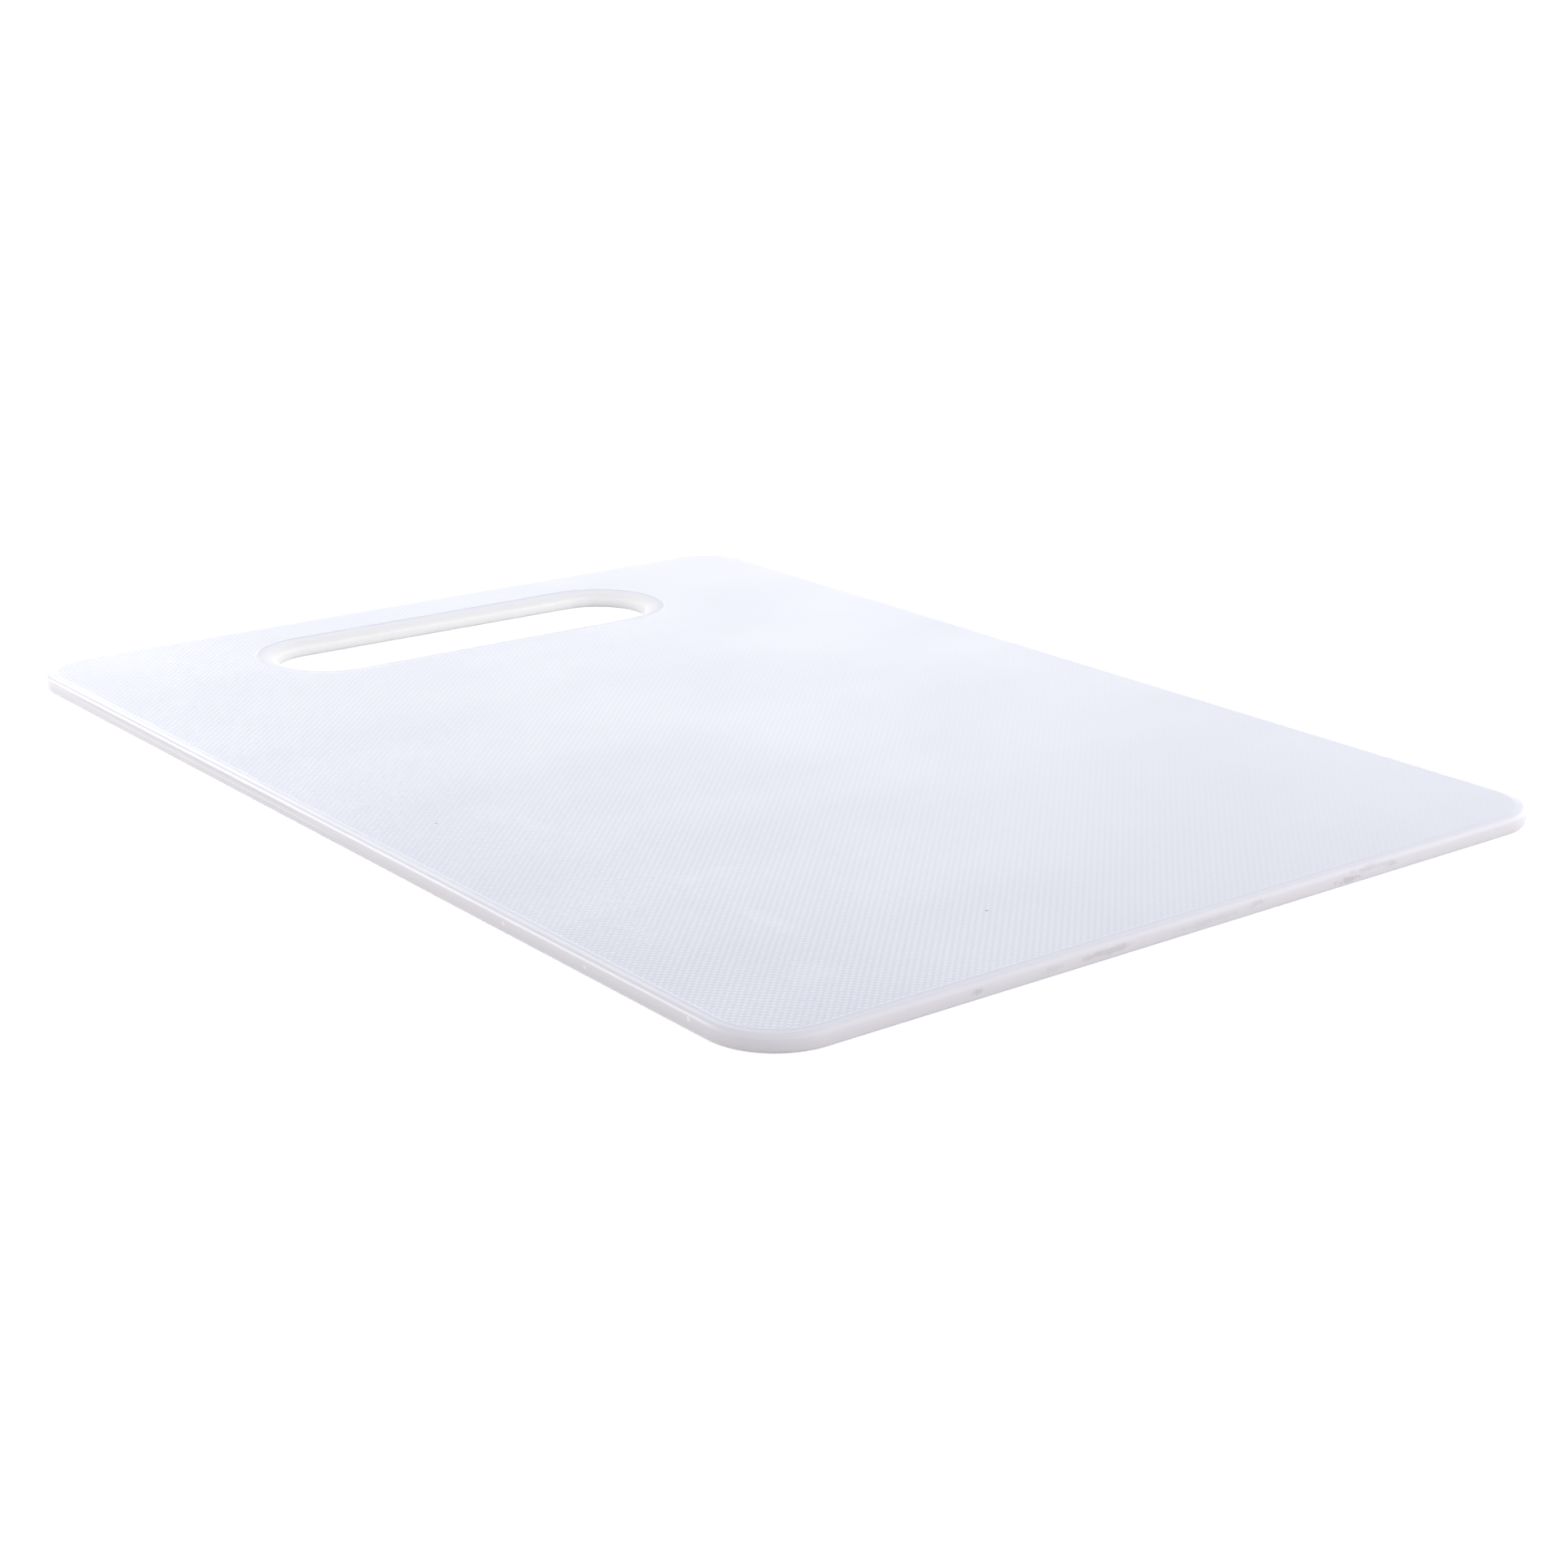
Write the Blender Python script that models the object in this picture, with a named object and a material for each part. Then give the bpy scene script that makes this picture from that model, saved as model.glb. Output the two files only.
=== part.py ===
"""White plastic cutting board, one injection moulding: a thin rounded slab with a hand slot at one end.

Metres, +Z up. The origin is the middle of the underside. X runs along the board, with the hand slot near -X,
and Y runs across it. Both faces are alike, so the board can be used either way up.
"""

import math

import bmesh
import bpy

# The slab
BOARD_LENGTH = 0.350
BOARD_WIDTH = 0.250
BOARD_THICKNESS = 0.0045  # over the two cutting faces
CORNER_RADIUS = 0.0175  # seen from above

# The outer edge, from the side wall in to the cutting face
EDGE_RADIUS = 0.0013  # rounding of the upper and lower edges
RIM_WIDTH = 0.0009  # smooth flat band inside the rounding
FACE_PROUD = 0.00012  # the grained cutting face stands above the rim by this much
FACE_RAMP = 0.0003  # width of the slope from the rim up to the cutting face

# The hand slot: clear sizes, at its narrowest, halfway through the slab
SLOT_LENGTH = 0.126  # across the board
SLOT_WIDTH = 0.0315
GRIP_WIDTH = 0.0245  # the bar between the end of the board and the slot
LIP_RUN = 0.0030  # how far the soft lip spreads over each face
LIP_LAND = 0.0006  # height of the straight wall left between the two lips
LIP_BAND = 0.0007  # smooth flat band round the lip

# Facets
CORNER_STEPS = 14  # in a quarter turn of the outline
SLOT_STEPS = 16  # in a quarter turn of the slot's ends
EDGE_STEPS = 5  # in the rounding of an edge
LIP_STEPS = 7  # in a lip
GRID_STEP = 0.025  # longest straight side of a facet along an outline

SHARP_ANGLE = math.radians(30.0)


def quarter_ellipse(run, drop, steps):
    """Points (run covered, height below the top) from the foot of a rounding to its top."""
    points = []
    for i in range(steps + 1):
        turn = 0.5 * math.pi * i / steps
        points.append((run * (1.0 - math.cos(turn)), drop * (1.0 - math.sin(turn))))
    return points


def edge_profile(run, drop, steps, band):
    """Upper half of a section: (distance from the wall, height above the middle), from the wall to the face."""
    face_height = 0.5 * BOARD_THICKNESS
    rim_height = face_height - FACE_PROUD
    profile = [(distance, rim_height - depth) for distance, depth in quarter_ellipse(run, drop, steps)]
    profile.append((run + band, rim_height))
    profile.append((run + band + FACE_RAMP, face_height))
    return profile


def whole_profile(upper_half):
    """The section from the lower face, round the wall, to the upper face."""
    lower_half = [(distance, -height) for distance, height in reversed(upper_half)]
    return lower_half + upper_half


def rounded_outline(half_x, half_y, radius, steps):
    """Points round a rectangle with round corners, anticlockwise from above, with its long sides divided."""
    points = []
    for quarter in range(4):
        side_x = 1.0 if quarter in (0, 3) else -1.0
        side_y = 1.0 if quarter in (0, 1) else -1.0
        centre_x = side_x * (half_x - radius)
        centre_y = side_y * (half_y - radius)
        for i in range(steps + 1):
            angle = 0.5 * math.pi * (quarter + i / steps)
            points.append((centre_x + radius * math.cos(angle), centre_y + radius * math.sin(angle)))
    divided = []
    for start, end in zip(points, points[1:] + points[:1]):
        reach = math.dist(start, end)
        if reach < 1e-7:
            continue
        pieces = max(1, math.ceil(reach / GRID_STEP))
        for i in range(pieces):
            share = i / pieces
            divided.append((start[0] + share * (end[0] - start[0]), start[1] + share * (end[1] - start[1])))
    return divided


def offset_outline(outline, distance):
    """The outline moved to its left by distance, each point along the mean of its two sides' normals."""
    moved = []
    count = len(outline)
    for i, (x, y) in enumerate(outline):
        before = outline[i - 1]
        after = outline[(i + 1) % count]
        in_x, in_y = x - before[0], y - before[1]
        out_x, out_y = after[0] - x, after[1] - y
        in_long, out_long = math.hypot(in_x, in_y), math.hypot(out_x, out_y)
        normal_x = -in_y / in_long - out_y / out_long
        normal_y = in_x / in_long + out_x / out_long
        normal_long = math.hypot(normal_x, normal_y)
        # a mitre, so that flat sides keep their true distance
        mitre = 2.0 / normal_long
        moved.append((x + distance * mitre * normal_x / normal_long, y + distance * mitre * normal_y / normal_long))
    return moved


def add_wall(bm, outline, centre, profile, side):
    """Lofts a section round an outline and returns its lowest and highest rings of edges.

    side is 1 where the material lies to the left of the outline, inside it, and -1 where it lies outside.
    """
    middle = 0.5 * BOARD_THICKNESS
    rings = []
    for distance, height in profile:
        ring = []
        for x, y in offset_outline(outline, side * distance):
            ring.append(bm.verts.new((centre[0] + x, centre[1] + y, middle + height)))
        rings.append(ring)
    count = len(outline)
    for lower, upper in zip(rings, rings[1:]):
        for i in range(count):
            j = (i + 1) % count
            corners = [lower[i], lower[j], upper[j], upper[i]]
            if side < 0:
                corners.reverse()
            bm.faces.new(corners)
    ends = []
    for ring in (rings[0], rings[-1]):
        ends.append([bm.edges.get((ring[i], ring[(i + 1) % count])) for i in range(count)])
    return ends


def make_board():
    """The whole moulding: the outer edge, the hand slot through it, and the two flat cutting faces."""
    rim_height = 0.5 * BOARD_THICKNESS - FACE_PROUD
    edge_radius = min(EDGE_RADIUS, 0.9 * rim_height)
    lip_drop = rim_height - 0.5 * LIP_LAND

    bm = bmesh.new()
    outer = rounded_outline(0.5 * BOARD_LENGTH, 0.5 * BOARD_WIDTH, CORNER_RADIUS, CORNER_STEPS)
    outer_profile = whole_profile(edge_profile(edge_radius, edge_radius, EDGE_STEPS, RIM_WIDTH))
    outer_ends = add_wall(bm, outer, (0.0, 0.0), outer_profile, 1)

    slot = rounded_outline(0.5 * SLOT_WIDTH, 0.5 * SLOT_LENGTH, 0.5 * SLOT_WIDTH, SLOT_STEPS)
    slot_centre = (-0.5 * BOARD_LENGTH + GRIP_WIDTH + 0.5 * SLOT_WIDTH, 0.0)
    slot_profile = whole_profile(edge_profile(LIP_RUN, lip_drop, LIP_STEPS, LIP_BAND))
    slot_ends = add_wall(bm, slot, slot_centre, slot_profile, -1)

    for outer_edges, slot_edges in zip(outer_ends, slot_ends):
        bmesh.ops.triangle_fill(bm, use_beauty=True, edges=outer_edges + slot_edges)
    bmesh.ops.recalc_face_normals(bm, faces=bm.faces)

    mesh = bpy.data.meshes.new("board")
    bm.to_mesh(mesh)
    bm.free()
    mesh.shade_smooth()
    mesh.set_sharp_from_angle(angle=SHARP_ANGLE)
    board = bpy.data.objects.new("board", mesh)
    bpy.context.scene.collection.objects.link(board)
    return board


def white_plastic():
    """Cool white food-grade plastic with a satin gloss."""
    material = bpy.data.materials.new("white_plastic")
    material.use_nodes = True
    shader = material.node_tree.nodes["Principled BSDF"]
    shader.inputs["Base Color"].default_value = (0.84, 0.85, 0.90, 1.0)
    shader.inputs["Roughness"].default_value = 0.32
    shader.inputs["Metallic"].default_value = 0.0
    return material


for leftover in list(bpy.data.objects):
    bpy.data.objects.remove(leftover, do_unlink=True)

make_board().data.materials.append(white_plastic())
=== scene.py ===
import math

import bmesh
import bpy
from mathutils import Matrix, Vector


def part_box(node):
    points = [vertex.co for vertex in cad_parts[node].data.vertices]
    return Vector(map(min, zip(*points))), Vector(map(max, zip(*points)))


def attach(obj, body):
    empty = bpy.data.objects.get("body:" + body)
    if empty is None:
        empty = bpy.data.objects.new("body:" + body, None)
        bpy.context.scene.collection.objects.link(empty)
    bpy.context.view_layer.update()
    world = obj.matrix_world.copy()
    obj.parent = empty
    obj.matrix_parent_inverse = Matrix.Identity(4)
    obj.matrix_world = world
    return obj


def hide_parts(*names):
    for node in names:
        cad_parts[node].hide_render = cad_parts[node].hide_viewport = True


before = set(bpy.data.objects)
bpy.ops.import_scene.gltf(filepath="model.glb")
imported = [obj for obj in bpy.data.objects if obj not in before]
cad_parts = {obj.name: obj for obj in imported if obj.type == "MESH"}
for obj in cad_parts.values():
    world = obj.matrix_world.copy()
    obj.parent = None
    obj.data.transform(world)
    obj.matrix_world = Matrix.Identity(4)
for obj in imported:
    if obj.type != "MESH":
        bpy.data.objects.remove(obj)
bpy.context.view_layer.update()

mm = 0.001
cadLow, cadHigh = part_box("board")


def setSocket(tree, socket, value):
    if isinstance(value, bpy.types.NodeSocket):
        tree.links.new(value, socket)
    elif value is not None:
        socket.default_value = value


def mathNode(tree, operation, first, second=None, third=None):
    node = tree.nodes.new("ShaderNodeMath")
    node.operation = operation
    for socket, value in zip(node.inputs, (first, second, third)):
        setSocket(tree, socket, value)
    return node.outputs[0]


def vectorNode(tree, operation, first, second=None):
    node = tree.nodes.new("ShaderNodeVectorMath")
    node.operation = operation
    setSocket(tree, node.inputs[0], first)
    setSocket(tree, node.inputs[1], second)
    return node


def rangeNode(tree, value, fromLow, fromHigh, toLow=0.0, toHigh=1.0, smooth=True):
    node = tree.nodes.new("ShaderNodeMapRange")
    node.interpolation_type = "SMOOTHSTEP" if smooth else "LINEAR"
    for name, given in (("Value", value), ("From Min", fromLow), ("From Max", fromHigh),
                        ("To Min", toLow), ("To Max", toHigh)):
        setSocket(tree, node.inputs[name], given)
    return node.outputs["Result"]


def splitNode(tree, place):
    node = tree.nodes.new("ShaderNodeSeparateXYZ")
    tree.links.new(place, node.inputs[0])
    return node.outputs


def mixColours(tree, share, first, second):
    node = tree.nodes.new("ShaderNodeMix")
    node.data_type = "RGBA"
    for index, value in ((0, share), (6, first), (7, second)):
        if isinstance(value, tuple):
            value = (*value, 1.0)
        setSocket(tree, node.inputs[index], value)
    return node.outputs[2]


def noiseNode(tree, place, scale, detail=2.0, roughness=0.5, stretch=None):
    if stretch is not None:
        mapping = tree.nodes.new("ShaderNodeMapping")
        mapping.inputs["Scale"].default_value = stretch
        tree.links.new(place, mapping.inputs["Vector"])
        place = mapping.outputs["Vector"]
    node = tree.nodes.new("ShaderNodeTexNoise")
    tree.links.new(place, node.inputs["Vector"])
    setSocket(tree, node.inputs["Scale"], scale)
    node.inputs["Detail"].default_value = detail
    node.inputs["Roughness"].default_value = roughness
    return node.outputs["Fac"]


def newGroup(name, inputs, outputs):
    tree = bpy.data.node_groups.new(name, "ShaderNodeTree")
    for socketName, kind, default in inputs:
        socket = tree.interface.new_socket(name=socketName, in_out="INPUT", socket_type="NodeSocket" + kind)
        if default is not None:
            socket.default_value = default
    for socketName, kind in outputs:
        tree.interface.new_socket(name=socketName, in_out="OUTPUT", socket_type="NodeSocket" + kind)
    return tree, tree.nodes.new("NodeGroupInput").outputs, tree.nodes.new("NodeGroupOutput").inputs


def placeGroup(tree, group, **values):
    node = tree.nodes.new("ShaderNodeGroup")
    node.node_tree = group
    for name, value in values.items():
        setSocket(tree, node.inputs[name], value)
    return node.outputs


def makeLinenGrain():
    # plain weave pressed into the mould: threads along X and along Y pass over and under each other
    tree, given, result = newGroup(
        "linenGrain",
        (("Place", "Vector", None), ("Pitch", "Float", 0.001), ("Wander", "Float", 0.1),
         ("Wavering", "Float", 50.0), ("Roundness", "Float", 0.6), ("Balance", "Float", 1.0),
         ("Overlap", "Float", 0.1)),
        (("Height", "Float"),))
    wobble = noiseNode(tree, given["Place"], given["Wavering"], detail=1.0)
    wobble = mathNode(tree, "MULTIPLY", mathNode(tree, "SUBTRACT", wobble, 0.5), given["Wander"])
    split = splitNode(tree, given["Place"])
    waves = []
    for axis in ("X", "Y"):
        turns = mathNode(tree, "ADD", mathNode(tree, "DIVIDE", split[axis], given["Pitch"]), wobble)
        waves.append(mathNode(tree, "SINE", mathNode(tree, "MULTIPLY", turns, math.pi)))
    parity = mathNode(tree, "MULTIPLY", *waves)      # above 0 where the thread along Y is on top
    bodies = [mathNode(tree, "ABSOLUTE", wave) for wave in waves]
    threads = []
    for side, (across, along) in ((0.5, bodies), (-0.5, bodies[::-1])):
        rise = mathNode(tree, "MULTIPLY", mathNode(tree, "SIGN", parity), along)
        rise = mathNode(tree, "MULTIPLY_ADD", rise, side, 0.5)
        threads.append(mathNode(tree, "MULTIPLY", mathNode(tree, "POWER", across, given["Roundness"]), rise))
    threads[1] = mathNode(tree, "MULTIPLY", threads[1], given["Balance"])
    tree.links.new(mathNode(tree, "SMOOTH_MAX", *threads, given["Overlap"]), result["Height"])
    return tree


def makeCloudiness():
    # slow uneven patches that every moulded plastic has in its gloss and depth of colour
    tree, given, result = newGroup(
        "cloudiness",
        (("Place", "Vector", None), ("Size", "Float", 0.04), ("Streak", "Float", 0.5)),
        (("Value", "Float"),))
    patches = noiseNode(tree, given["Place"], mathNode(tree, "DIVIDE", 1.0, given["Size"]), detail=3.0)
    streaks = noiseNode(tree, given["Place"], mathNode(tree, "DIVIDE", 2.0, given["Size"]), detail=2.0,
                        stretch=(1.0, 0.25, 1.0))
    node = tree.nodes.new("ShaderNodeMix")
    for index, value in ((0, given["Streak"]), (2, patches), (3, streaks)):
        setSocket(tree, node.inputs[index], value)
    tree.links.new(node.outputs[0], result["Value"])
    return tree


def makeSmudge():
    # soft spot with a ragged rim, for dirt, stains and specks
    tree, given, result = newGroup(
        "smudge",
        (("Place", "Vector", None), ("Spot", "Vector", None), ("Reach", "Vector", None),
         ("Grit", "Float", 0.002), ("Ragged", "Float", 1.0)),
        (("Value", "Float"),))
    away = vectorNode(tree, "SUBTRACT", given["Place"], given["Spot"]).outputs["Vector"]
    away = vectorNode(tree, "DIVIDE", away, given["Reach"]).outputs["Vector"]
    away = vectorNode(tree, "LENGTH", away).outputs["Value"]
    rim = noiseNode(tree, given["Place"], mathNode(tree, "DIVIDE", 1.0, given["Grit"]), detail=3.0)
    rim = mathNode(tree, "MULTIPLY", mathNode(tree, "SUBTRACT", rim, 0.5), given["Ragged"])
    tree.links.new(rangeNode(tree, mathNode(tree, "ADD", away, rim), 1.0, 0.3), result["Value"])
    return tree


def makeFineLine():
    # thin level line along X that fades out at both ends
    tree, given, result = newGroup(
        "fineLine",
        (("Place", "Vector", None), ("Height", "Float", 0.0), ("Width", "Float", 0.0002),
         ("Start", "Float", 0.0), ("End", "Float", 0.1), ("Fade", "Float", 0.02)),
        (("Value", "Float"),))
    split = splitNode(tree, given["Place"])
    away = mathNode(tree, "ABSOLUTE", mathNode(tree, "SUBTRACT", split["Z"], given["Height"]))
    line = rangeNode(tree, away, given["Width"], 0.0)
    for end, side in ((given["Start"], 1.0), (given["End"], -1.0)):
        inside = mathNode(tree, "MULTIPLY_ADD", given["Fade"], side, end)
        line = mathNode(tree, "MULTIPLY", line, rangeNode(tree, split["X"], end, inside))
    tree.links.new(line, result["Value"])
    return tree


board = {
    "cornerRadius": 17.5 * mm,
    "edgeRadius": 1.3 * mm,
    "footRadius": 0.8 * mm,      # along the underside, where the photo shows a tighter turn
    "rimWidth": 0.9 * mm,        # smooth flat band inside the edge rounding
    "faceProud": 0.12 * mm,      # grained face above the rim
    "faceRamp": 0.3 * mm,
    "faceSettle": 0.6 * mm,      # level strip that keeps the shading of the face flat
    "slotLength": 126.0 * mm,
    "slotWidth": 31.5 * mm,
    "gripWidth": 24.5 * mm,
    "lipRun": 5.0 * mm,          # the solid keeps 3 mm; the photo's soft lip reads wider
    "lipFoot": 0.5 * mm,         # lower lip, tight where the solid's is a copy of the upper one
    "lipLand": 0.6 * mm,
    "lipBand": 0.7 * mm,
    "cornerSteps": 36,           # facets in a quarter turn of the outline
    "slotSteps": 36,
    "edgeSteps": 10,
    "lipSteps": 16,
    "rampSteps": 5,
    "longestSide": 6.0 * mm,     # along the straight sides
    "faceMapHeight": 0.90,       # share of the texture square under the two faces
    "edgeMapHeight": 0.05,       # and under each of the two rounded walls
    "edgeMapFill": 0.9,          # the rest of it keeps the maps apart
}


def halfSection(run, drop, steps, band):
    # (distance from the wall, height above the middle, share of grain, share of wall), from wall to face
    faceHeight = 0.5 * (cadHigh.z - cadLow.z)
    rimHeight = faceHeight - board["faceProud"]
    stations = []
    for i in range(steps + 1):
        turn = 0.5 * math.pi * i / steps
        stations.append((run * (1.0 - math.cos(turn)), rimHeight - drop * (1.0 - math.sin(turn)), 0.0,
                         math.cos(turn)))
    for i in range(board["rampSteps"] + 1):
        share = i / board["rampSteps"]
        rise = share * share * (3.0 - 2.0 * share)
        stations.append((run + band + share * board["faceRamp"], rimHeight + rise * board["faceProud"],
                         share, 0.0))
    stations.append((run + band + board["faceRamp"] + board["faceSettle"], faceHeight, 1.0, 0.0))
    return stations


def fullSection(lower, upper):
    return [(distance, -height, grain, wall) for distance, height, grain, wall in reversed(lower)] + upper


def roundedOutline(halfX, halfY, radius, steps):
    points = []
    for quarter in range(4):
        sideX = 1.0 if quarter in (0, 3) else -1.0
        sideY = 1.0 if quarter in (0, 1) else -1.0
        for i in range(steps + 1):
            angle = 0.5 * math.pi * (quarter + i / steps)
            outward = Vector((math.cos(angle), math.sin(angle)))
            centre = Vector((sideX * (halfX - radius), sideY * (halfY - radius)))
            points.append((centre + radius * outward, outward))
    divided = []
    for (start, startOut), (end, endOut) in zip(points, points[1:] + points[:1]):
        reach = (end - start).length
        if reach < 1e-7:
            continue
        pieces = max(1, math.ceil(reach / board["longestSide"]))
        for i in range(pieces):
            divided.append((start.lerp(end, i / pieces), startOut.lerp(endOut, i / pieces).normalized()))
    return divided


def loftWall(bm, layers, outline, centre, section, side, mapBase, material):
    # side is 1 for the outer edge and -1 for the slot, whose material lies outside its outline
    wallLayer, lipLayer, mapLayer = layers
    middle = 0.5 * (cadLow.z + cadHigh.z)
    rings = []
    for distance, height, grain, wall in section:
        ring = []
        for point, outward in outline:
            at = centre + point - side * distance * outward
            vertex = bm.verts.new((at.x, at.y, middle + height))
            vertex[wallLayer] = wall if side > 0 else 0.0
            vertex[lipLayer] = 0.0 if side > 0 else 0.5 * (1.0 - grain + wall)
            ring.append(vertex)
        rings.append(ring)
    count = len(outline)
    rowHeight = board["edgeMapHeight"] * board["edgeMapFill"] / (len(rings) - 1)
    for row, (lower, upper) in enumerate(zip(rings, rings[1:])):
        for i in range(count):
            j = (i + 1) % count
            corners = [(lower[i], i, row), (lower[j], i + 1, row), (upper[j], i + 1, row + 1),
                       (upper[i], i, row + 1)]
            if side < 0:
                corners.reverse()
            face = bm.faces.new([vertex for vertex, _, _ in corners])
            face.material_index = material
            for loop, (_, along, across) in zip(face.loops, corners):
                loop[mapLayer].uv = (along / count, mapBase + rowHeight * across)
    return [[bm.edges.get((ring[i], ring[(i + 1) % count])) for i in range(count)]
            for ring in (rings[0], rings[-1])]


def makeMoulding():
    size = cadHigh - cadLow
    faceHeight = 0.5 * size.z
    bm = bmesh.new()
    for name in ("wall", "lip"):
        bm.verts.layers.float.new(name)
    mapLayer = bm.loops.layers.uv.new("OFBake")
    layers = (bm.verts.layers.float["wall"], bm.verts.layers.float["lip"], mapLayer)
    middle = Vector((0.5 * (cadLow.x + cadHigh.x), 0.5 * (cadLow.y + cadHigh.y)))
    outer = roundedOutline(0.5 * size.x, 0.5 * size.y, board["cornerRadius"], board["cornerSteps"])
    edgeSection = fullSection(*(halfSection(radius, radius, board["edgeSteps"], board["rimWidth"])
                                for radius in (board["footRadius"], board["edgeRadius"])))
    outerEnds = loftWall(bm, layers, outer, middle, edgeSection, 1, 0.0, 1)

    slotRadius = 0.5 * board["slotWidth"]
    slot = roundedOutline(slotRadius, 0.5 * board["slotLength"], slotRadius, board["slotSteps"])
    slotCentre = Vector((cadLow.x + board["gripWidth"] + slotRadius, middle.y))
    lipDrop = faceHeight - board["faceProud"] - 0.5 * board["lipLand"]
    lipSection = fullSection(*(halfSection(run, drop, board["lipSteps"], board["lipBand"])
                               for run, drop in ((board["lipFoot"], board["lipFoot"]),
                                                 (board["lipRun"], lipDrop))))
    slotEnds = loftWall(bm, layers, slot, slotCentre, lipSection, -1, board["edgeMapHeight"], 1)

    for outerEdges, slotEdges in zip(outerEnds, slotEnds):
        filled = bmesh.ops.triangle_fill(bm, use_beauty=True, edges=outerEdges + slotEdges)
        for face in filled["geom"]:
            if isinstance(face, bmesh.types.BMFace):
                face.material_index = 0
    bmesh.ops.recalc_face_normals(bm, faces=bm.faces)
    faceMapBase = 1.0 - board["faceMapHeight"]
    for face in bm.faces:
        if face.material_index == 0:
            for loop in face.loops:
                at = loop.vert.co
                loop[mapLayer].uv = ((at.x - cadLow.x) / size.x,
                                     faceMapBase + board["faceMapHeight"] * (at.y - cadLow.y) / size.y)
    mesh = bpy.data.meshes.new("boardMoulding")
    bm.to_mesh(mesh)
    bm.free()
    mesh.shade_smooth()
    piece = bpy.data.objects.new("board_moulding", mesh)
    bpy.context.scene.collection.objects.link(piece)
    return piece


faceLook = {
    # the grain's valleys are painted darker (painted shade) and its crowns lighter (painted highlight),
    # around the plastic's own blue-white
    "valleyShadeColour": (0.585, 0.610, 0.740),
    "crownHighlightColour": (0.830, 0.837, 0.918),
    "roughness": 0.32,
    "roughnessSpread": 0.03,
    "cloudSize": 50.0 * mm,
    "cloudStreak": 0.4,
    "threadPitch": 1.02 * mm,
    "threadWander": 0.08,        # how far the threads waver, in pitches
    "threadWavering": 55.0,      # and how often in a metre
    "threadRoundness": 0.9,
    "threadBalance": 0.35,       # height of the threads along X against those along Y
    # the grain's bump and its painted shade and highlight both fade from the -Y side towards the +Y side
    "grainDepth": 0.12 * mm,     # along the -Y side
    "fadedGrain": 0.08,           # share of it left along the +Y side, where the photo shows almost none
    "fadeCurve": 1.5,
    "clouding": 0.015,           # slow change of tone
    "subsurface": 0.15,
    "subsurfaceReach": 1.2 * mm,
    "smearColour": (0.800, 0.830, 0.900),
    "smearShare": 0.17,
    "smearRagged": 1.6,
    "smears": (                  # middle x, y and half size x, y, in mm
        (20.0, -90.0, 9.0, 6.0),
        (33.0, -86.0, 12.0, 3.5),
        (88.0, -76.0, 4.0, 12.0),
        (120.0, -80.0, 16.0, 4.0),
        (150.0, -92.0, 7.0, 9.0),
    ),
    "speckColour": (0.220, 0.220, 0.250),
    "speckRagged": 0.5,
    "specks": (                  # x, y and radius, in mm
        (144.9, -38.1, 0.55),
        (19.0, -104.0, 0.45),
    ),
}

edgeLook = {
    "rimColour": (0.745, 0.755, 0.850),
    # painted shade: the walls coloured darker and warmer than the rim, over the plastic's own lilac grey
    "wallShadeColour": (0.745, 0.720, 0.770),
    # painted light: the slot's lips and walls coloured lighter than the rest
    "lipLightColour": (0.950, 0.937, 0.985),
    "roughness": 0.31,
    "roughnessSpread": 0.02,
    "cloudSize": 30.0 * mm,
    "cloudStreak": 0.2,
    "scuffing": 0.18,            # added to the roughness on the +X wall and the slot's lips
    "scuffBand": 2.0 * mm,
    "skin": 0.5,                 # polished skin left by the mould on the other walls
    "skinRoughness": 0.10,
    "skinStart": 0.3,            # how far down the rounding the skin begins and is full, as share of wall
    "skinFull": 0.7,
    "subsurface": 0.8,
    "subsurfaceReach": 4.0 * mm,
    "dirtColour": (0.400, 0.405, 0.395),
    "dirtHalfHeight": 0.9,       # in mm
    "dirtRagged": 2.2,
    "dirt": (                    # on the +X wall: middle y, z, half length in mm, and share
        (-67.5, 2.2, 2.0, 0.35),
        (-46.0, 2.0, 4.5, 0.18),
        (-31.0, 2.2, 11.0, 0.30),
        (2.0, 2.0, 14.0, 0.16),
        (17.0, 2.9, 3.0, 0.22),
        (47.5, 1.6, 5.5, 0.42),
        (55.0, 3.1, 9.0, 0.22),
        (63.0, 2.3, 3.0, 0.26),
    ),
    "nickColour": (0.950, 0.950, 0.970),
    "nickShare": 0.6,
    "nickRagged": 0.8,
    "nicks": (                   # on the -Y wall: x, z and radius, in mm
        (82.2, 2.5, 0.7),
        (114.2, 2.2, 0.7),
        (151.6, 2.9, 0.9),
    ),
    "lines": (                   # along the -Y wall: height, start and end in mm, and colour
        (2.0, -130.0, 15.0, (0.950, 0.940, 0.960)),
        (3.1, -150.0, 0.0, (0.500, 0.480, 0.520)),
    ),
    "lineWidth": 0.22 * mm,
    "lineShare": 0.8,
}

markDepth = 2.0                  # in mm; how far a mark reaches into the plastic
cloudLow, cloudHigh = 0.3, 0.7   # what nearly all values of the cloudiness lie between


def startMaterial(name, look):
    material = bpy.data.materials.new(name)
    material.use_nodes = True
    tree = material.node_tree
    shader = tree.nodes["Principled BSDF"]
    shader.inputs["Metallic"].default_value = 0.0
    shader.inputs["IOR"].default_value = 1.5
    shader.inputs["Subsurface Weight"].default_value = look["subsurface"]
    shader.inputs["Subsurface Scale"].default_value = look["subsurfaceReach"]
    shader.inputs["Subsurface Radius"].default_value = (1.0, 1.0, 1.0)
    place = tree.nodes.new("ShaderNodeTexCoord").outputs["Object"]
    return material, tree, shader, place


def attributeValue(tree, name):
    node = tree.nodes.new("ShaderNodeAttribute")
    node.attribute_name = name
    return node.outputs["Fac"]


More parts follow.
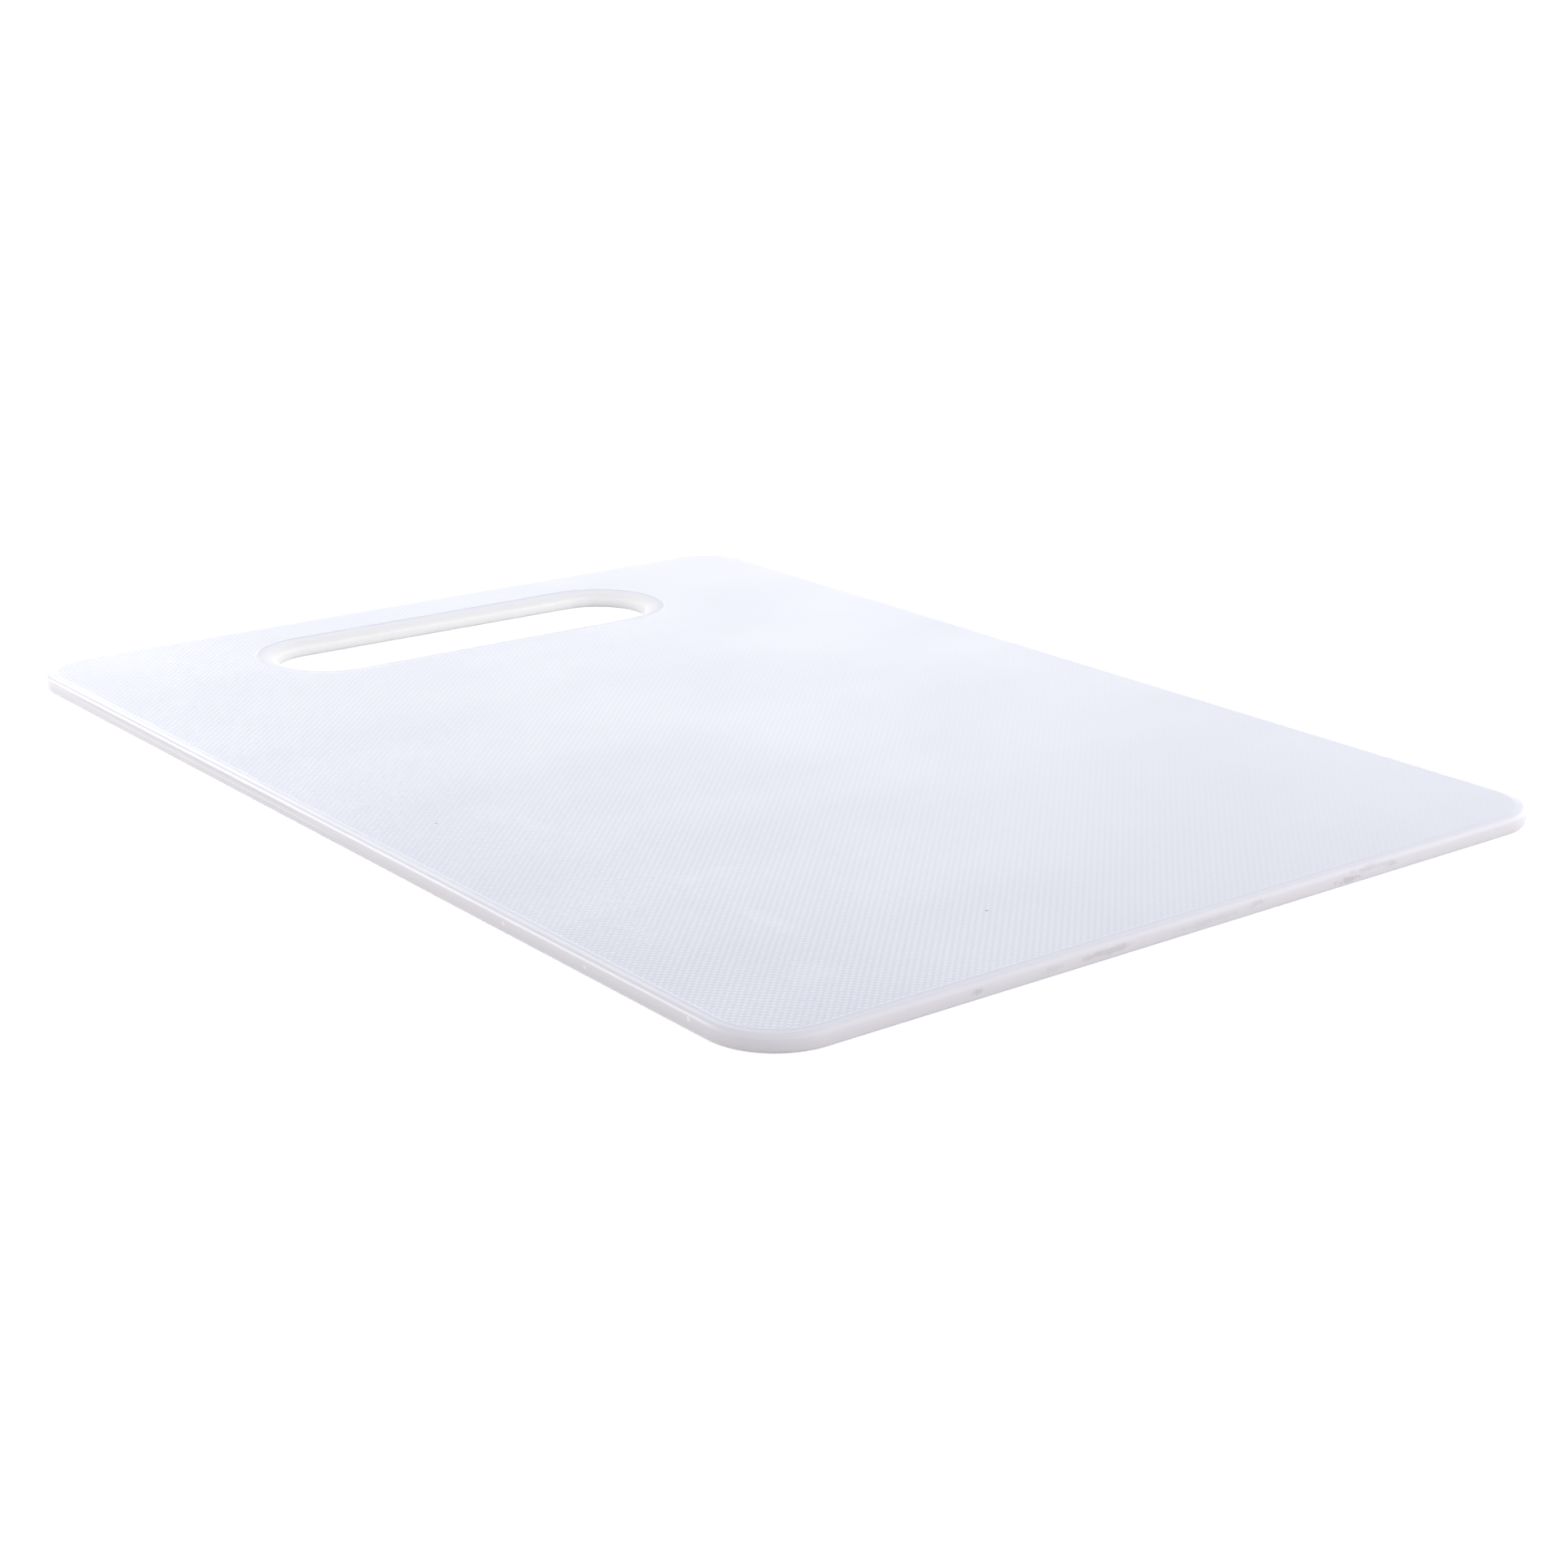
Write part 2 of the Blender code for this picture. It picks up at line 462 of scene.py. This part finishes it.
def cloudedRoughness(tree, clouds, look):
    # kept above 0.28 all over: the renderer's denoiser draws an outline where it crosses 0.27
    return rangeNode(tree, clouds, cloudLow, cloudHigh, look["roughness"] - look["roughnessSpread"],
                     look["roughness"] + look["roughnessSpread"])


def addSmudge(tree, smudge, place, colour, spotColour, share, spot, reach, ragged):
    # spot and reach in mm
    value = placeGroup(tree, smudge, Place=place, Spot=tuple(Vector(spot) * mm),
                       Reach=tuple(Vector(reach) * mm), Grit=0.25 * max(reach) * mm, Ragged=ragged)["Value"]
    return mixColours(tree, mathNode(tree, "MULTIPLY", value, share), colour, spotColour)


def makeFaceMaterial(linenGrain, cloudiness, smudge):
    material, tree, shader, place = startMaterial("grainedWhitePlastic", faceLook)
    grain = placeGroup(tree, linenGrain, Place=place, Pitch=faceLook["threadPitch"],
                       Wander=faceLook["threadWander"], Wavering=faceLook["threadWavering"],
                       Roundness=faceLook["threadRoundness"], Balance=faceLook["threadBalance"])["Height"]
    clouds = placeGroup(tree, cloudiness, Place=place, Size=faceLook["cloudSize"],
                        Streak=faceLook["cloudStreak"])["Value"]
    # grain share, full along -Y and faint along +Y; it scales the bump and the painted shade and highlight
    # of the grain
    kept = rangeNode(tree, splitNode(tree, place)["Y"], cadHigh.y, cadLow.y, smooth=False)
    kept = mathNode(tree, "MULTIPLY_ADD", mathNode(tree, "POWER", kept, faceLook["fadeCurve"]),
                    1.0 - faceLook["fadedGrain"], faceLook["fadedGrain"])
    # painted shade in the grain's valleys and painted highlight on its crowns, mixed by the grain's height
    tone = mathNode(tree, "MULTIPLY_ADD", mathNode(tree, "SUBTRACT", grain, 0.5), kept, 0.5)
    colour = mixColours(tree, tone, faceLook["valleyShadeColour"], faceLook["crownHighlightColour"])
    shade = rangeNode(tree, clouds, cloudLow, cloudHigh, 0.0, faceLook["clouding"])
    colour = mixColours(tree, shade, colour, (0.0, 0.0, 0.0))
    faceHeight = cadHigh.z / mm
    for x, y, halfX, halfY in faceLook["smears"]:
        colour = addSmudge(tree, smudge, place, colour, faceLook["smearColour"], faceLook["smearShare"],
                           (x, y, faceHeight), (halfX, halfY, markDepth), faceLook["smearRagged"])
    for x, y, radius in faceLook["specks"]:
        colour = addSmudge(tree, smudge, place, colour, faceLook["speckColour"], 1.0,
                           (x, y, faceHeight), (radius, radius, markDepth), faceLook["speckRagged"])
    setSocket(tree, shader.inputs["Base Color"], colour)
    setSocket(tree, shader.inputs["Roughness"], cloudedRoughness(tree, clouds, faceLook))
    bump = tree.nodes.new("ShaderNodeBump")
    tree.links.new(mathNode(tree, "MULTIPLY", kept, faceLook["grainDepth"]), bump.inputs["Distance"])
    tree.links.new(grain, bump.inputs["Height"])
    tree.links.new(bump.outputs["Normal"], shader.inputs["Normal"])
    return material


def makeEdgeMaterial(cloudiness, smudge, fineLine):
    material, tree, shader, place = startMaterial("smoothWhitePlastic", edgeLook)
    clouds = placeGroup(tree, cloudiness, Place=place, Size=edgeLook["cloudSize"],
                        Streak=edgeLook["cloudStreak"])["Value"]
    # painted shade on the walls, with the real lines, dirt and nicks mixed on below
    wall = edgeLook["wallShadeColour"]
    for height, start, end, lineColour in edgeLook["lines"]:
        line = placeGroup(tree, fineLine, Place=place, Height=height * mm, Width=edgeLook["lineWidth"],
                          Start=start * mm, End=end * mm)["Value"]
        wall = mixColours(tree, mathNode(tree, "MULTIPLY", line, edgeLook["lineShare"]), wall, lineColour)
    for y, z, halfLength, share in edgeLook["dirt"]:
        wall = addSmudge(tree, smudge, place, wall, edgeLook["dirtColour"], share,
                         (cadHigh.x / mm, y, z), (markDepth, halfLength, edgeLook["dirtHalfHeight"]),
                         edgeLook["dirtRagged"])
    for x, z, radius in edgeLook["nicks"]:
        wall = addSmudge(tree, smudge, place, wall, edgeLook["nickColour"], edgeLook["nickShare"],
                         (x, cadLow.y / mm, z), (radius, markDepth, radius), edgeLook["nickRagged"])
    # painted shade: the colour turns from the rim's to the darker wall colour down the rounding
    wallShare = attributeValue(tree, "wall")
    outside = mixColours(tree, wallShare, edgeLook["rimColour"], wall)
    lip = attributeValue(tree, "lip")                # 0.5 on the slot's flat rim and 1 on its wall
    # painted light: the slot's lips turn to the lighter lip colour towards the wall
    lipShare = rangeNode(tree, lip, 0.5, 1.0, smooth=False)
    setSocket(tree, shader.inputs["Base Color"], mixColours(tree, lipShare, outside, edgeLook["lipLightColour"]))
    scuffed = rangeNode(tree, splitNode(tree, place)["X"], cadHigh.x - board["cornerRadius"],
                        cadHigh.x - edgeLook["scuffBand"])
    scuffed = mathNode(tree, "MAXIMUM", scuffed, rangeNode(tree, lip, 0.0, 0.5))
    setSocket(tree, shader.inputs["Roughness"],
              mathNode(tree, "MULTIPLY_ADD", scuffed, edgeLook["scuffing"],
                       cloudedRoughness(tree, clouds, edgeLook)))
    skin = mathNode(tree, "MULTIPLY_ADD", scuffed, -edgeLook["skin"], edgeLook["skin"])
    skinShare = rangeNode(tree, wallShare, edgeLook["skinStart"], edgeLook["skinFull"])
    setSocket(tree, shader.inputs["Coat Weight"], mathNode(tree, "MULTIPLY", skin, skinShare))
    shader.inputs["Coat Roughness"].default_value = edgeLook["skinRoughness"]
    return material


cameraSettings = {
    "azimuth": 51.945,           # degrees; 0 looks along +Y
    "elevation": 17.942,
    "roll": 0.274,
    "distance": 0.7125,
    "target": (0.03475, -0.00925, 0.0),
    "focalPixels": 3391.8,       # in a picture 1932 pixels wide
    "pictureWidth": 1932,
}

stageLook = {
    "floorSize": 60.0,
    "floorGap": 0.02 * mm,
    "floorColour": (0.82, 0.82, 0.82),
    "floorRoughness": 0.9,
    "floorGlow": 0.62,           # what the floor adds towards the camera, so that it reads as white
    "worldFill": 0.54,
}

# soft panels round the board: how far away, in metres, in which direction and how wide they look from it,
# in degrees (azimuth 0 is +X and 90 is +Y), and how bright they are
lampPanels = {
    "backdropRight": {"distance": 3.0, "azimuth": 125.0, "elevation": 8.0, "width": 20.0, "height": 14.0,
                      "radiance": 1.6},
    "backdrop": {"distance": 3.0, "azimuth": 147.0, "elevation": 8.0, "width": 24.0, "height": 14.0,
                 "radiance": 1.15},
    "backdropLeft": {"distance": 3.0, "azimuth": 165.0, "elevation": 8.0, "width": 12.0, "height": 14.0,
                     "radiance": 1.45},
    "backdropFade": {"distance": 3.0, "azimuth": 147.0, "elevation": 18.0, "width": 24.0, "height": 6.0,
                     "radiance": 0.65},
    "backdropHigh": {"distance": 3.0, "azimuth": 147.0, "elevation": 25.5, "width": 24.0, "height": 9.0,
                     "radiance": 1.75},
    "leftHigh": {"distance": 3.0, "azimuth": 165.0, "elevation": 22.5, "width": 12.0, "height": 15.0,
                 "radiance": 3.3},
    "rightWindow": {"distance": 3.0, "azimuth": 95.0, "elevation": 15.0, "width": 34.0, "height": 20.0,
                    "radiance": 1.4},
    "leftSoftbox": {"distance": 0.8, "azimuth": 222.0, "elevation": 20.0, "width": 44.0, "height": 24.0,
                    "radiance": 2.8},
    "rightSoftbox": {"distance": 0.8, "azimuth": 60.0, "elevation": 20.0, "width": 52.0, "height": 24.0,
                     "radiance": 2.3},
    "frontRight": {"distance": 3.0, "azimuth": 15.0, "elevation": 20.0, "width": 70.0, "height": 30.0,
                   "radiance": 1.15},
    "front": {"distance": 3.0, "azimuth": 285.0, "elevation": 20.0, "width": 120.0, "height": 30.0,
              "radiance": 0.4},
}


def makeCamera():
    azimuth, elevation, roll = (math.radians(cameraSettings[name])
                                for name in ("azimuth", "elevation", "roll"))
    back = Vector((math.sin(azimuth) * math.cos(elevation), -math.cos(azimuth) * math.cos(elevation),
                   math.sin(elevation)))
    right = (-back).cross(Vector((0.0, 0.0, 1.0))).normalized()
    up = back.cross(right)
    turnedRight = math.cos(roll) * right + math.sin(roll) * up
    turnedUp = -math.sin(roll) * right + math.cos(roll) * up
    data = bpy.data.cameras.new("photoCamera")
    data.sensor_width = 36.0
    data.lens = data.sensor_width * cameraSettings["focalPixels"] / cameraSettings["pictureWidth"]
    data.clip_start = 0.01
    data.clip_end = 50.0
    camera = bpy.data.objects.new("photoCamera", data)
    bpy.context.scene.collection.objects.link(camera)
    spot = Vector(cameraSettings["target"]) + cameraSettings["distance"] * back
    camera.matrix_world = Matrix((
        (turnedRight.x, turnedUp.x, back.x, spot.x),
        (turnedRight.y, turnedUp.y, back.y, spot.y),
        (turnedRight.z, turnedUp.z, back.z, spot.z),
        (0.0, 0.0, 0.0, 1.0)))
    bpy.context.scene.camera = camera


def seenShare(tree):
    # 1 for rays that show the backdrop itself, straight or in a reflection
    path = tree.nodes.new("ShaderNodeLightPath").outputs
    share = mathNode(tree, "MAXIMUM", path["Is Camera Ray"], path["Is Glossy Ray"])
    return mathNode(tree, "MAXIMUM", share, path["Is Transmission Ray"])


def makeWorld():
    world = bpy.data.worlds.new("studioWhite")
    world.use_nodes = True
    tree = world.node_tree
    tree.nodes.clear()
    fill = tree.nodes.new("ShaderNodeBackground")
    fill.inputs["Strength"].default_value = stageLook["worldFill"]
    white = tree.nodes.new("ShaderNodeBackground")
    white.inputs["Strength"].default_value = 1.0
    for background in (fill, white):
        background.inputs["Color"].default_value = (1.0, 1.0, 1.0, 1.0)
    mix = tree.nodes.new("ShaderNodeMixShader")
    output = tree.nodes.new("ShaderNodeOutputWorld")
    tree.links.new(seenShare(tree), mix.inputs[0])
    tree.links.new(fill.outputs[0], mix.inputs[1])
    tree.links.new(white.outputs[0], mix.inputs[2])
    tree.links.new(mix.outputs[0], output.inputs["Surface"])
    bpy.context.scene.world = world


def makeFloor():
    half = 0.5 * stageLook["floorSize"]
    mesh = bpy.data.meshes.new("floor")
    corners = [(-half, -half, 0.0), (half, -half, 0.0), (half, half, 0.0), (-half, half, 0.0)]
    mesh.from_pydata(corners, [], [(0, 1, 2, 3)])
    floor = bpy.data.objects.new("floor", mesh)
    bpy.context.scene.collection.objects.link(floor)
    floor.location.z = -stageLook["floorGap"]
    material = bpy.data.materials.new("floorWhite")
    material.use_nodes = True
    tree = material.node_tree
    shader = tree.nodes["Principled BSDF"]
    shader.inputs["Base Color"].default_value = (*stageLook["floorColour"], 1.0)
    shader.inputs["Roughness"].default_value = stageLook["floorRoughness"]
    shader.inputs["Specular IOR Level"].default_value = 0.0
    shader.inputs["Emission Color"].default_value = (1.0, 1.0, 1.0, 1.0)
    glow = mathNode(tree, "MULTIPLY", seenShare(tree), stageLook["floorGlow"])
    tree.links.new(glow, shader.inputs["Emission Strength"])
    mesh.materials.append(material)


def areaLamp(name, place, aim, size, power):
    data = bpy.data.lights.new(name, "AREA")
    data.shape = "RECTANGLE"
    data.size, data.size_y = size
    data.energy = power
    lamp = bpy.data.objects.new(name, data)
    bpy.context.scene.collection.objects.link(lamp)
    lamp.location = place
    lamp.rotation_mode = "QUATERNION"
    lamp.rotation_quaternion = (Vector(aim) - Vector(place)).to_track_quat("-Z", "Y")
    lamp.visible_camera = False
    return lamp


def makeLamps():
    for name, panel in lampPanels.items():
        distance = panel["distance"]
        azimuth, elevation = math.radians(panel["azimuth"]), math.radians(panel["elevation"])
        place = distance * Vector((math.cos(azimuth) * math.cos(elevation),
                                   math.sin(azimuth) * math.cos(elevation), math.sin(elevation)))
        width = 2.0 * distance * math.cos(elevation) * math.tan(math.radians(0.5 * panel["width"]))
        height = 2.0 * distance * math.tan(math.radians(0.5 * panel["height"]))
        areaLamp(name, place, (0.0, 0.0, 0.0), (width, height), math.pi * width * height * panel["radiance"])


makeCamera()
makeWorld()
makeFloor()
makeLamps()
print("stage ready")

linenGrain = makeLinenGrain()
cloudiness = makeCloudiness()
smudge = makeSmudge()
fineLine = makeFineLine()
moulding = makeMoulding()
moulding.data.materials.append(makeFaceMaterial(linenGrain, cloudiness, smudge))
moulding.data.materials.append(makeEdgeMaterial(cloudiness, smudge, fineLine))
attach(moulding, "root")
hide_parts("board")
print("board ready:", len(moulding.data.polygons), "faces")

bpy.context.scene.view_settings.view_transform = "Standard"
